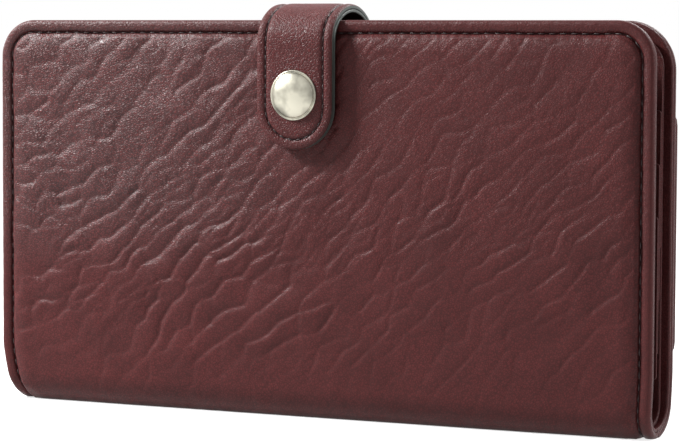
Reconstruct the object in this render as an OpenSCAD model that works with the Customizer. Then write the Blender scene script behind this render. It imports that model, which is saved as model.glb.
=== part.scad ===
// Coupon organizer wallet: a long leather wallet that stands on its fold.
// X runs along the wallet, Y from the front cover (-) to the back cover (+), Z up.
// The origin is the middle of the flat that the fold stands on. Millimetres.

/* [Wallet] */
// Length of the wallet along its fold
wallet_w = 184; // [180:1:200]
// Height from the fold to the top edge
wallet_h = 101.6; // [100:0.2:112]
// Thickness when closed, outside face to outside face
wallet_t = 17; // [17:0.1:18]
// Radius of the covers' top corners
corner_r = 9.6; // [6:0.2:14]
// Depth of the flat that the fold stands on
foot_depth = 0.5; // [0.3:0.1:0.7]

/* [Cover layers] */
// Thickness of the outer leather
leather_t = 1.2; // [1:0.1:1.3]
// Thickness of the foam under the leather
foam_t = 0.5; // [0.3:0.1:0.6]
// Thickness of the stiffening board
board_t = 0.6; // [0.4:0.1:0.7]
// Thickness of the lining
lining_t = 0.5; // [0.4:0.1:0.6]
// Width of the leather turned in round the edge
rim_w = 2.4; // [2.4:0.1:2.9]
// Radius of the rolled edge
edge_r = 1.1; // [0.8:0.1:1.2]
// Distance from the edge to the sewn groove
groove_inset = 3.3; // [2.8:0.1:4]
// Radius of the sewn groove's hollow
groove_r = 0.4; // [0.3:0.05:0.5]

/* [Inside] */
// Clear depth of each full-length bill pocket
bill_gap = 0.4; // [0.3:0.05:0.5]
// Thickness of the inner leather panels
panel_t = 0.8; // [0.6:0.1:0.9]
// Distance from the covers' top edge down to the inner panels
panel_drop = 3.6; // [3:0.1:6]
// Width of the seam that joins an inner panel to its cover
seam_w = 3; // [2:0.5:4]
// Height above the floor where those seams start
seam_z = 33; // [28:1:40]

/* [Card slots] */
// Number of stepped card slots in a column
slot_n = 4; // [2:1:4]
// Thickness of one slot's leather
slot_t = 0.6; // [0.5:0.05:0.62]
// Clear depth of one slot
slot_gap = 0.14; // [0.1:0.02:0.16]
// Step from one slot's edge to the next
slot_step = 13; // [11:0.5:14]
// Height of the top slot's edge above the floor
slot_top = 93; // [88:0.5:95]
// Depth of a slot from its edge to its seam
slot_depth = 47; // [40:1:48]
// Height of the lowest seam of the slots
slot_foot = 14; // [12:0.5:18]
// Width of the sewn border round a slot
slot_border = 1.4; // [1:0.1:2]
// Distance from the wallet's end to the slots
slot_inset = 2; // [2:0.5:3]
// Gap between the two columns of slots
column_gap = 0.5; // [0.4:0.1:2]

/* [Identity window] */
// Length of the clear window
window_w = 72; // [60:1:76]
// Height of the clear window
window_h = 50; // [40:1:54]
// Border of leather round the window
window_border = 7; // [5:0.5:7]
// Thickness of the clear film
film_t = 0.25; // [0.2:0.05:0.3]

/* [Coupon dividers] */
// Number of tabbed dividers
page_n = 5; // [3:1:5]
// Thickness of a divider
page_t = 0.3; // [0.2:0.05:0.32]
// Distance between dividers when closed
page_pitch = 0.52; // [0.5:0.02:0.54]
// Rise from one divider's hinge line to the next one's
page_rise = 0.5; // [0.5:0.05:0.6]
// Length of a divider
page_w = 166; // [150:1:170]
// Height above the floor of the dividers' top edge
page_top = 88; // [80:0.5:90]
// Length of an index tab
index_w = 27; // [20:1:30]
// Height of an index tab
index_h = 6; // [4:0.5:7]
// Radius of the dividers' corners
index_r = 2; // [1:0.5:2.5]
// Gap between the binding and the dividers
page_gap = 0.35; // [0.3:0.05:0.5]

/* [Snap tab] */
// Width of the tab
tab_w = 21.2; // [18:0.2:24]
// Distance of the tab's middle from the wallet's middle, to the left
tab_offset = 2.3; // [0:0.1:10]
// Thickness of the tab's leather
tab_leather_t = 1.25; // [1:0.05:1.4]
// Thickness of the tab's backing
tab_backing_t = 0.9; // [0.7:0.05:1]
// Gap between the front cover and the tab
tab_stand = 2; // [1.8:0.1:2.4]
// Height of the tab's round end above the floor
tab_end_z = 69; // [60:0.5:72]
// Rise of the tab's arch above the top edge
arch_rise = 5.4; // [5.2:0.1:8]
// Outer radius of the arch's shoulders
shoulder_r = 8.3; // [8:0.1:8.6]
// Outer radius of the arch's crown
crown_r = 15.5; // [14.5:0.1:17]
// Height above the floor where the tab leaves its seam on the back
root_top = 91; // [90:0.5:92]
// Height of the sewn root
root_h = 8.5; // [7:0.5:9]

/* [Snap] */
// Height of the snap above the floor
snap_z = 82.8; // [80:0.1:86]
// Radius of the domed cap
cap_r = 6.4; // [5.5:0.1:7]
// Height of the domed cap
cap_h = 2.4; // [1.8:0.1:3]
// Radius of the posts
post_r = 1.6; // [1.2:0.1:1.8]
// Radius of the stud's head
stud_r = 2; // [1.9:0.1:2.4]
// Radius of the socket
socket_r = 4.6; // [4:0.1:5.5]
// Thickness of the stud's flange and of its rivet
flange_t = 0.35; // [0.3:0.05:0.4]
// Clearance between the snap's two halves
snap_gap = 0.1; // [0.08:0.02:0.14]

/* [Coin pocket] */
// Height of the coin pocket's lower edge above the floor
coin_z0 = 17.6; // [14:0.2:24]
// Height of the coin pocket's upper edge above the floor
coin_z1 = 81; // [76:0.5:82]
// Distance from the wallet's end to the coin pocket
coin_inset = 1.2; // [1:0.1:4]
// Thickness of the coin pocket as a whole
coin_t = 2.4; // [2.3:0.1:2.7]
// Thickness of the coin pocket's leather
coin_leather_t = 1.1; // [1:0.05:1.2]
// Width of the coin pocket's sewn edge
coin_seam_w = 1.6; // [1.2:0.1:2]
// Radius of the coin pocket's corners
coin_r = 5; // [3:0.5:8]

/* [Zip] */
// Height of the zip above the floor
zip_z = 71.5; // [66:0.5:72]
// Length of the zip's window
zip_w = 150; // [100:1:158]
// Height of the zip's window
zip_h = 9; // [8:0.5:9.5]
// Distance from one tooth to the next
tooth_pitch = 2.2; // [2:0.1:3]
// Length of a tooth along the zip
tooth_w = 1.3; // [0.9:0.1:1.6]
// Height of a tooth
tooth_h = 1.75; // [1.5:0.05:1.9]
// Thickness of a tooth
tooth_t = 1.1; // [0.9:0.05:1.1]
// Gap between the two rows of teeth
tooth_gap = 0.9; // [0.8:0.05:1.2]
// Thickness of the tape
tape_t = 0.4; // [0.3:0.05:0.4]
// Width of each half of the tape
tape_w = 5; // [4:0.5:5]
// Length of the slider
slider_w = 7.5; // [6:0.5:9]
// Height of the slider
slider_h = 6; // [5:0.5:7]
// Length of the pull
pull_h = 16; // [10:1:22]
// Width of the pull
pull_w = 4.4; // [3.6:0.2:6]

/* [Hidden] */

$fn = 64;
// A little extra, so that a cut passes right through
over = 1;

// The fold: its outer radius, its centre height and the half angle that the spine strip covers
fold_r = wallet_t / 2;
fold_z = fold_r - foot_depth;
spine_half = 45;
// Half of the gap left between the spine strip and each cover, as an angle
strip_gap = 0.1;
strip_half = spine_half - strip_gap / 2 / fold_r * 180 / PI;

// Depths of the layers from the outside face
cover_t = leather_t + foam_t + board_t + lining_t;
panel_d = cover_t + bill_gap;
slot_pitch = slot_t + slot_gap;
slots_d = panel_d + panel_t;
panel_h = wallet_h - panel_drop;

// Columns of card slots
column_w = wallet_w / 2 - slot_inset - column_gap / 2;
column_x = column_gap / 2 + column_w / 2;
frame_t = panel_t;

// The dividers' hinge lines, the first one nearest to the front cover
function page_y(i) = (i - (page_n + 1) / 2) * page_pitch;
function page_z(i) = fold_z - fold_r + panel_d + panel_t + page_lift + page_rise * (i - 1);
// Height of the binding above the inner panel, and of a divider's foot above its hinge line
page_lift = 2.3;
page_foot = 0.1;
index_span = page_w - 2 * index_r;

// The tab's arch: two shoulders and a crown, tangent to each other
tab_x = -tab_offset;
tab_t = tab_leather_t + tab_backing_t;
arch_a = fold_r + tab_stand + tab_t;
arch_z = wallet_h + arch_rise;
shoulder_y = arch_a - shoulder_r;
crown_z = arch_z - crown_r;
shoulder_z = crown_z + sqrt(pow(crown_r - shoulder_r, 2) - pow(shoulder_y, 2));
shoulder_a = atan2(shoulder_z - crown_z, shoulder_y);
tab_gap_a = strip_gap / 2 / crown_r * 180 / PI;
post_gap = 0.05;
arc_steps = 8;

// The snap: the stud's flange past its head, its waist and its head, and the rolled rim of the cap
stud_flange_w = 1.6;
stud_waist = 0.3;
stud_head_t = 0.7;
cap_rim_h = 0.8;

// The zip's layers, measured from the back cover's outside face
tape_d = coin_t - coin_leather_t - tape_t;
tape_over = 4;
tooth_d = tape_d + tape_t / 2 - tooth_t / 2;
slider_gap = 0.1;
slider_plate_t = 0.6;
slider_back_t = 0.3;
slider_post_h = 0.6;
slider_post_w = 2.5;
slider_end_gap = 3;
slider_x = -(zip_w / 2 - slider_w / 2 - slider_end_gap);
bar_r = 0.42;
barrel_r = 0.95;
bar_gap = 0.08;
bar_d = tooth_d + tooth_t + slider_gap + slider_plate_t + slider_gap + barrel_r;
ear_w = 1;
barrel_w = 2.8;
ear_gap = 0.3;
pull_t = 0.8;
pull_neck = 3;
pull_lap = 0.5;
pull_r = 1;
pull_hole_r = 1.1;
pull_hole_rise = 2.6;

// Mirrors what is drawn for the back cover to the front
module front_side() {
    mirror([0, 1, 0]) children();
}

// Turns a profile drawn as (radius, length) about the fold, down from the back cover
module turn_down(sweep) {
    translate([0, 0, fold_z]) mirror([0, 0, 1]) rotate([90, 0, 90])
        rotate_extrude(angle = sweep) children();
}

// The same round the bottom of the fold, by an angle to each side
module turn_under(half) {
    translate([0, 0, fold_z]) rotate([90, 0, 90]) rotate([0, 0, -90 - half])
        rotate_extrude(angle = 2 * half) children();
}

// A flat strip of the fold between two depths, as (radius, length)
module fold_strip(d0, d1, inset) {
    translate([fold_r - d1, -wallet_w / 2 + inset]) square([d1 - d0, wallet_w - 2 * inset]);
}

// A cover's outline above the fold, as (X, Z), drawn in from the edge by inset
module cover_outline(inset, top = wallet_h) {
    half_w = wallet_w / 2 - inset;
    r = corner_r - inset;
    z1 = top - inset;
    translate([-half_w, fold_z]) square([2 * half_w, z1 - r - fold_z]);
    translate([-half_w + r, fold_z]) square([2 * (half_w - r), z1 - fold_z]);
    for (side = [-1, 1]) translate([side * (half_w - r), z1 - r]) circle(r);
}

// A flat sheet of the back cover between two depths, from an (X, Z) outline
module back_sheet(d0, d1) {
    translate([0, fold_r - d0, 0]) rotate([90, 0, 0]) linear_extrude(d1 - d0) children();
}

// A sheet of the back cover with its part of the fold
module bent_sheet(d0, d1, inset, top = wallet_h) {
    back_sheet(d0, d1) cover_outline(inset, top);
    turn_down(strip_half) fold_strip(d0, d1, inset);
}

// The turned edge of the leather as (distance past the edge, depth)
module rim_profile() {
    for (d = [edge_r, cover_t - edge_r]) translate([-edge_r, d]) circle(edge_r);
    translate([-rim_w, 0]) square([rim_w - edge_r, cover_t]);
    translate([-edge_r - over / 100, edge_r]) square([edge_r + over / 100, cover_t - 2 * edge_r]);
}

// The sewn groove's hollow as (distance past the edge, depth)
module groove_profile() {
    translate([-groove_inset, 0]) circle(groove_r);
}

// Sweeps a profile of the edge round a cover's two ends, top and top corners
module sweep_edge() {
    corner_x = wallet_w / 2 - corner_r;
    corner_z = wallet_h - corner_r;
    for (side = [0, 1]) mirror([side, 0, 0]) {
        translate([wallet_w / 2, fold_r, fold_z]) linear_extrude(corner_z - fold_z)
            mirror([0, 1, 0]) children();
        translate([corner_x, fold_r, corner_z]) rotate([90, 0, 0])
            rotate_extrude(angle = 90) translate([corner_r, 0]) children();
    }
    translate([-corner_x, fold_r, wallet_h]) rotate([90, 0, 90])
        linear_extrude(2 * corner_x) rotate([0, 0, 90]) children();
}

// Places a profile of the edge at both ends of the fold, as (radius, length)
module at_fold_ends() {
    for (side = [0, 1]) mirror([0, side]) translate([fold_r, wallet_w / 2])
        rotate([0, 0, 90]) children();
}

// The leather of one cover: a skin with its edge turned in
module cover_leather() {
    difference() {
        union() {
            bent_sheet(0, leather_t, edge_r);
            sweep_edge() rim_profile();
            turn_down(strip_half) at_fold_ends() rim_profile();
        }
        sweep_edge() groove_profile();
        turn_down(spine_half) at_fold_ends() groove_profile();
    }
}

// The inner panel of one cover, with the seams that join it to the lining
module inner_panel() {
    bent_sheet(panel_d, panel_d + panel_t, slot_inset, panel_h + slot_inset);
    for (side = [-1, 1]) translate([side * (wallet_w / 2 - slot_inset - seam_w / 2), 0, 0])
        back_sheet(cover_t, panel_d) translate([-seam_w / 2, seam_z])
            square([seam_w, panel_h - corner_r - seam_z]);
}

// One stepped column of card slots, as separate pieces that lie on each other
module slot_column(x) {
    for (k = [0:slot_n - 1]) {
        edge_z = slot_top - k * slot_step;
        seam = k == slot_n - 1 ? slot_foot : edge_z - slot_depth;
        d0 = slots_d + k * slot_pitch;
        translate([x, 0, 0]) {
            back_sheet(d0 + slot_gap, d0 + slot_pitch) translate([-column_w / 2, seam])
                square([column_w, edge_z - seam]);
            back_sheet(d0, d0 + slot_gap) difference() {
                translate([-column_w / 2, seam]) square([column_w, edge_z - seam]);
                translate([-column_w / 2 + slot_border, seam + slot_border])
                    square([column_w - 2 * slot_border, edge_z - seam]);
            }
        }
    }
}

// An outline with four round corners, as (X, Z)
module round_plate(w, z0, z1, r) {
    translate([-w / 2 + r, z0]) square([w - 2 * r, z1 - z0]);
    translate([-w / 2, z0 + r]) square([w, z1 - z0 - 2 * r]);
    for (x = [-1, 1], z = [z0 + r, z1 - r]) translate([x * (w / 2 - r), z]) circle(r);
}

// A divider with its index tab, standing on its hinge line
module divider(i) {
    step = (index_span - index_w) / (page_n - 1);
    tab_mid = -index_span / 2 + index_w / 2 + (i - 1) * step;
    color("ivory") translate([0, page_y(i) + page_t / 2, 0]) rotate([90, 0, 0])
        linear_extrude(page_t) {
            round_plate(page_w, page_z(i) + page_foot, page_top, index_r);
            translate([tab_mid, 0])
                round_plate(index_w, page_top - index_w / 2, page_top + index_h, index_r);
        }
}

// Points of an arc in the (Y, Z) plane, without its first one
function arc_points(y, z, r, a0, a1) = [
    for (i = [1:arc_steps]) let (a = a0 + (a1 - a0) * i / arc_steps) [y + r * cos(a), z + r * sin(a)]
];

// A list of points the other way round
function reversed(points) = [for (i = [len(points) - 1:-1:0]) points[i]];

// The tab's run in (Y, Z) at a depth from its outer face, from its front end up to the crown
function front_run(d) = concat(
    [[-arch_a + d, tab_end_z], [-arch_a + d, shoulder_z]],
    arc_points(-shoulder_y, shoulder_z, shoulder_r - d, 180, 180 - shoulder_a),
    arc_points(0, crown_z, crown_r - d, 180 - shoulder_a, 90 + tab_gap_a)
);

// The same from its sewn root on the back up to the crown
function back_run(d) = concat(
    [[fold_r + tab_t - d, root_top - root_h], [fold_r + tab_t - d, root_top], [arch_a - d, shoulder_z]],
    arc_points(shoulder_y, shoulder_z, shoulder_r - d, 0, shoulder_a),
    arc_points(0, crown_z, crown_r - d, shoulder_a, 90 - tab_gap_a)
);

// A band of the tab between two of its runs
module tab_band(outer_run, inner_run) {
    translate([tab_x - tab_w / 2, 0, 0]) rotate([90, 0, 90])
        linear_extrude(tab_w) polygon(concat(outer_run, reversed(inner_run)));
}

// A band over the front, with its round end
module tab_front_band(d0, d1) {
    r = tab_w / 2;
    intersection() {
        tab_band(front_run(d0), front_run(d1));
        translate([tab_x, over, 0]) rotate([90, 0, 0]) linear_extrude(arch_a + 2 * over) {
            translate([0, tab_end_z + r]) circle(r);
            translate([-r, tab_end_z + r]) square([tab_w, arch_z]);
        }
    }
}

// A band over the back, down to its sewn root
module tab_back_band(d0, d1) {
    tab_band(back_run(d0), back_run(d1));
}

// A disc or rod of the snap, from one distance in front of the cover's face to another
module snap_rod(r, d0, d1) {
    translate([tab_x, -fold_r - d0, snap_z]) rotate([90, 0, 0]) cylinder(h = d1 - d0, r = r);
}

// A plate of the coin pocket between two heights above the back face
module coin_sheet(h0, h1) {
    back_sheet(-h1, -h0) children();
}

// A row of teeth on one side of the zip
module teeth_row(side) {
    count = floor((zip_w - tooth_pitch) / tooth_pitch);
    for (i = [0:count - 1])
        translate([(i - (count - 1) / 2 + side / 4) * tooth_pitch, 0, zip_z])
            coin_sheet(tooth_d, tooth_d + tooth_t)
                translate([-tooth_w / 2, side > 0 ? tooth_gap / 2 : -tooth_gap / 2 - tooth_h])
                    square([tooth_w, tooth_h]);
}

// Half of the zip's tape
module tape_half(side) {
    z0 = tooth_gap / 2 + tooth_h;
    coin_sheet(tape_d, tape_d + tape_t)
        translate([-zip_w / 2 - tape_over, zip_z + (side > 0 ? z0 : -z0 - tape_w)])
            square([zip_w + 2 * tape_over, tape_w]);
}

module spine_leather() {
    color("#5c3434") difference() {
        turn_under(strip_half) {
            fold_strip(0, leather_t, edge_r);
            at_fold_ends() rim_profile();
        }
        turn_under(spine_half) at_fold_ends() groove_profile();
        translate([-wallet_w, -fold_r, -2 * over]) cube([2 * wallet_w, wallet_t, 2 * over]);
    }
}

module spine_padding() {
    color("dimgray") turn_under(strip_half) fold_strip(leather_t, cover_t - lining_t, rim_w);
}

module spine_lining() {
    color("#3a2626") turn_under(strip_half) fold_strip(cover_t - lining_t, cover_t, rim_w);
}

module inner_fold() {
    color("#4e2c2c") turn_under(strip_half) fold_strip(panel_d, panel_d + panel_t, slot_inset);
}

module divider_binding() {
    color("#3a2626") intersection() {
        for (i = [1:page_n])
            translate([-page_w / 2, page_y(i) - page_pitch / 2, 0])
                cube([page_w, page_pitch, page_z(i) - page_gap]);
        translate([-page_w / 2, 0, fold_z]) rotate([0, 90, 0])
            cylinder(h = page_w, r = fold_r - panel_d - panel_t);
    }
}

module front_leather() {
    color("#633a3a") difference() {
        front_side() cover_leather();
        snap_rod(post_r + post_gap, -cover_t, over);
    }
}

module front_foam() {
    color("dimgray") difference() {
        front_side() bent_sheet(leather_t, leather_t + foam_t, rim_w);
        snap_rod(post_r + post_gap, -cover_t, over);
    }
}

module front_board() {
    d0 = leather_t + foam_t;
    color("burlywood") difference() {
        front_side() back_sheet(d0, d0 + board_t) cover_outline(rim_w);
        snap_rod(socket_r, -cover_t, over);
    }
}

module front_lining() {
    color("#3a2626") front_side() bent_sheet(cover_t - lining_t, cover_t, rim_w);
}

module front_inner_panel() {
    color("#4e2c2c") front_side() inner_panel();
}

module front_card_slots_left() {
    color("#57302f") front_side() slot_column(-column_x);
}

module front_card_slots_right() {
    color("#57302f") front_side() slot_column(column_x);
}

module snap_stud() {
    head = tab_stand - 2 * snap_gap;
    color("silver") {
        snap_rod(stud_r + stud_flange_w, 0, flange_t);
        snap_rod(stud_r - stud_waist, 0, head);
        snap_rod(stud_r, head - stud_head_t, head);
        snap_rod(post_r, -leather_t - foam_t, 0);
    }
}

module snap_stud_rivet() {
    d0 = leather_t + foam_t;
    color("silver") snap_rod(socket_r - 2 * snap_gap, -d0 - flange_t, -d0);
}

module back_leather() {
    color("#633a3a") cover_leather();
}

module back_foam() {
    color("dimgray") bent_sheet(leather_t, leather_t + foam_t, rim_w);
}

module back_board() {
    d0 = leather_t + foam_t;
    color("burlywood") back_sheet(d0, d0 + board_t) cover_outline(rim_w);
}

module back_lining() {
    color("#3a2626") bent_sheet(cover_t - lining_t, cover_t, rim_w);
}

module back_inner_panel() {
    color("#4e2c2c") inner_panel();
}

module back_card_slots() {
    color("#57302f") slot_column(column_x);
}

module id_window_frame() {
    mid_z = (slot_top + slot_foot) / 2;
    outer_h = window_h + 2 * window_border;
    outer_w = window_w + 2 * window_border;
    frame_d = slots_d + film_t;
    color("#57302f") translate([-column_x, 0, mid_z]) back_sheet(frame_d, frame_d + frame_t) difference() {
        round_plate(outer_w, -outer_h / 2, outer_h / 2, index_r);
        round_plate(window_w, -window_h / 2, window_h / 2, index_r);
    }
}

module id_window_film() {
    mid_z = (slot_top + slot_foot) / 2;
    film_w = window_w + window_border;
    film_h = window_h + window_border;
    color("lightblue") translate([-column_x, 0, mid_z]) back_sheet(slots_d, slots_d + film_t)
        round_plate(film_w, -film_h / 2, film_h / 2, index_r);
}

module coin_pocket_panel() {
    w = wallet_w - 2 * coin_inset;
    coin_inner_r = coin_r - coin_seam_w;
    color("#5c3434") {
        coin_sheet(coin_t - coin_leather_t, coin_t) difference() {
            round_plate(w, coin_z0, coin_z1, coin_r);
            translate([0, zip_z]) round_plate(zip_w, -zip_h / 2, zip_h / 2, index_r);
        }
        coin_sheet(0, coin_t - coin_leather_t) difference() {
            round_plate(w, coin_z0, coin_z1, coin_r);
            round_plate(w - 2 * coin_seam_w, coin_z0 + coin_seam_w, coin_z1 - coin_seam_w, coin_inner_r);
        }
    }
}

module zip_tape_upper() {
    color("#2b2224") tape_half(1);
}

module zip_tape_lower() {
    color("#2b2224") tape_half(-1);
}

module zip_teeth_upper() {
    color("silver") teeth_row(1);
}

module zip_teeth_lower() {
    color("silver") teeth_row(-1);
}

module tab_root_leather() {
    color("#6b3d3d") tab_back_band(0, tab_leather_t);
}

module tab_root_backing() {
    color("#2f2b2b") tab_back_band(tab_leather_t, tab_t);
}

module tab_leather() {
    color("#6b3d3d") difference() {
        tab_front_band(0, tab_leather_t);
        snap_rod(post_r + post_gap, 0, tab_stand + tab_t + over);
    }
}

module tab_backing() {
    color("#2f2b2b") difference() {
        tab_front_band(tab_leather_t, tab_t);
        snap_rod(post_r + post_gap, 0, tab_stand + tab_t + over);
    }
}

// The cap is a dome with a rolled rim, on a post that goes through the tab
module snap_cap() {
    dome_h = cap_h - cap_rim_h;
    dome_r = (pow(cap_r, 2) + pow(dome_h, 2)) / 2 / dome_h;
    face = tab_stand + tab_t;
    color("silver") {
        snap_rod(cap_r, face, face + cap_rim_h);
        translate([tab_x, -fold_r - face - cap_rim_h, snap_z]) rotate([90, 0, 0]) rotate_extrude()
            intersection() {
                translate([0, dome_h - dome_r]) circle(dome_r);
                square([cap_r, dome_h]);
            }
        snap_rod(post_r, tab_stand, face);
    }
}

module snap_socket() {
    face = flange_t + snap_gap;
    color("silver") difference() {
        snap_rod(socket_r, face, tab_stand);
        snap_rod(stud_r + snap_gap, 0, tab_stand - snap_gap);
    }
}

// The slider: a plate on each side of the teeth, a thin post between the rows and a bar for the pull
module zip_slider() {
    back_d = tooth_d - slider_gap - slider_back_t;
    plate_d = tooth_d + tooth_t + slider_gap;
    ear_x = barrel_w / 2 + ear_gap;
    color("silver") translate([slider_x, 0, zip_z]) {
        coin_sheet(back_d, back_d + slider_back_t)
            round_plate(slider_w, -slider_h / 2, slider_h / 2, index_r);
        coin_sheet(plate_d, plate_d + slider_plate_t)
            round_plate(slider_w, -slider_h / 2, slider_h / 2, index_r);
        coin_sheet(back_d, plate_d) translate([-slider_post_w / 2, -slider_post_h / 2])
            square([slider_post_w, slider_post_h]);
        for (side = [0, 1]) mirror([side, 0, 0])
            translate([ear_x, fold_r + plate_d, -barrel_r])
                cube([ear_w, bar_d - plate_d + barrel_r, 2 * barrel_r]);
        translate([-ear_x - ear_w / 2, fold_r + bar_d, 0]) rotate([0, 90, 0])
            cylinder(h = 2 * ear_x + ear_w, r = bar_r);
    }
}

// The pull hangs from the slider's bar
module zip_pull() {
    color("silver") translate([slider_x, fold_r + bar_d, zip_z]) difference() {
        union() {
            translate([-barrel_w / 2, 0, 0]) rotate([0, 90, 0]) cylinder(h = barrel_w, r = barrel_r);
            translate([-barrel_w / 2, -pull_t / 2, -pull_neck]) cube([barrel_w, pull_t, pull_neck]);
            translate([0, pull_t / 2, 0]) rotate([90, 0, 0]) linear_extrude(pull_t)
                round_plate(pull_w, -pull_h, -pull_neck + pull_lap, pull_r);
        }
        translate([-barrel_w, 0, 0]) rotate([0, 90, 0]) cylinder(h = 2 * barrel_w, r = bar_r + bar_gap);
        translate([0, pull_t, -pull_h + pull_hole_rise]) rotate([90, 0, 0])
            cylinder(h = 2 * pull_t, r = pull_hole_r);
    }
}

spine_leather();
spine_padding();
spine_lining();
inner_fold();
divider_binding();
front_leather();
front_foam();
front_board();
front_lining();
front_inner_panel();
front_card_slots_left();
front_card_slots_right();
snap_stud();
snap_stud_rivet();
back_leather();
back_foam();
back_board();
back_lining();
back_inner_panel();
back_card_slots();
id_window_frame();
id_window_film();
coin_pocket_panel();
zip_tape_upper();
zip_tape_lower();
zip_teeth_upper();
zip_teeth_lower();
tab_root_leather();
tab_root_backing();
divider(1);  // divider_1
divider(2);  // divider_2
divider(3);  // divider_3
divider(4);  // divider_4
divider(5);  // divider_5
tab_leather();
tab_backing();
snap_cap();
snap_socket();
zip_slider();
zip_pull();
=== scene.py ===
import math
from collections import namedtuple

import bmesh
import bpy
import numpy as np
from mathutils import Matrix, Vector


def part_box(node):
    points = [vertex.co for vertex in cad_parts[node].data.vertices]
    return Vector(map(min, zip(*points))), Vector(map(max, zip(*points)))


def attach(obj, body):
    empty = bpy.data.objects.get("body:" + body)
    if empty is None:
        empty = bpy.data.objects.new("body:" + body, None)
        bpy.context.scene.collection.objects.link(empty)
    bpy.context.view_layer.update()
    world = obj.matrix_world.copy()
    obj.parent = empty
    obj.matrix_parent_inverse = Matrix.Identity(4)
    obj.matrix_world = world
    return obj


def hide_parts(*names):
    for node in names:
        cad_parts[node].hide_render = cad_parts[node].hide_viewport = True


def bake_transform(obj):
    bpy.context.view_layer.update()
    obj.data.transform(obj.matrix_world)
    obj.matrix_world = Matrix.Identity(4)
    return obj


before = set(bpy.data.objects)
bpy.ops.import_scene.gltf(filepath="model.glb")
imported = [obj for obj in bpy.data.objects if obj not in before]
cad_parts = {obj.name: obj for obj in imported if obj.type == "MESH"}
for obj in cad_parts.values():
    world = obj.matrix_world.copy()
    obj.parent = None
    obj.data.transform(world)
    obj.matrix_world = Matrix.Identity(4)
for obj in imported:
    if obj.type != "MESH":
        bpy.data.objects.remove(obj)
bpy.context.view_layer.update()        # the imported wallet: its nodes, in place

# All sizes are in millimetres, and MM turns them into the frame's metres
MM = 0.001


def node_box(name):
    """A CAD node's lowest and highest corner, in millimetres."""
    low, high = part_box(name)
    return np.array(low) / MM, np.array(high) / MM


# The two sides of the fold: the front is towards -y
FRONT, BACK = -1, 1
SIDE = {FRONT: "front", BACK: "back"}

# The covers
COVER_LOW, COVER_HIGH = node_box("front_leather")
HALF_W = COVER_HIGH[0]
HEIGHT = COVER_HIGH[2]
FOLD_R = -COVER_LOW[1]
FOLD_Z = node_box("front_board")[0][2]
COVER_T = 2.8
CORNER_R = 9.6
BACK_CORNER_R = 12
GROOVE = 3.1
ARC = FOLD_R * math.pi / 2
COVER_LEN = ARC + HEIGHT - FOLD_Z

# The leather ends are drawn in where it turns round the fold
DRAW_FROM = 20.8
DRAW_LEFT = 4.6
DRAW_RIGHT = 1.0
DRAW_REACH = 45
DRAW_POWER = 1.3

# The inner panel's U inside the fold
PANEL_D = 3.2
PANEL_T = 0.8
PANEL_HIGH = node_box("front_inner_panel")[1]

# The snap tab
TAB_LOW, TAB_HIGH = node_box("tab_leather")
TAB_ROOT_LOW = node_box("tab_root_leather")[0]
TAB_X = (TAB_LOW[0] + TAB_HIGH[0]) / 2
TAB_R = (TAB_HIGH[0] - TAB_LOW[0]) / 2
TAB_LEATHER_T = 1.25
TAB_BACKING_T = 0.9
TAB_T = TAB_LEATHER_T + TAB_BACKING_T
SHOULDER_R = 8.3
CROWN_R = 15.5
ROOT_TOP = 91
TAB_PRESS = 1.1

# The snap's stud on the front cover
STUD_LOW, STUD_HIGH = node_box("snap_stud")
STUD_R = (STUD_HIGH[0] - STUD_LOW[0]) / 2


# Noise and creases

def lattice(seed, n=64):
    return np.random.RandomState(seed).rand(n, n)


def noise(x, y, seed):
    """Smooth noise from -1 to 1, with one hump a unit."""
    table = lattice(seed)
    n = len(table)
    i, j = np.floor(x).astype(int), np.floor(y).astype(int)
    fx, fy = x - i, y - j
    fx, fy = fx * fx * (3 - 2 * fx), fy * fy * (3 - 2 * fy)
    low, high = (table[i % n, k % n] * (1 - fx) + table[(i + 1) % n, k % n] * fx for k in (j, j + 1))
    return 2 * (low * (1 - fy) + high * fy) - 1


def smooth(t, a, b):
    t = np.clip((t - a) / (b - a), 0, 1)
    return t * t * (3 - 2 * t)


def ridge(t, at, width):
    """A smooth ridge of height 1 where t is at."""
    return np.exp(-((t - at) / width) ** 2)


def rolled(inset, width):
    """How far an edge is rolled down: 1 at the very edge, and 0 from width inwards."""
    return np.clip(1 - inset / width, 0, 1) ** 2


# In cells: how soon a valley ends at a pillow's upper and lower edge, and the width of a crease's line,
# which is cut in and darkened as painted shade
STEEP = 0.13
GENTLE = 0.3
LINE = 0.06


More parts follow.
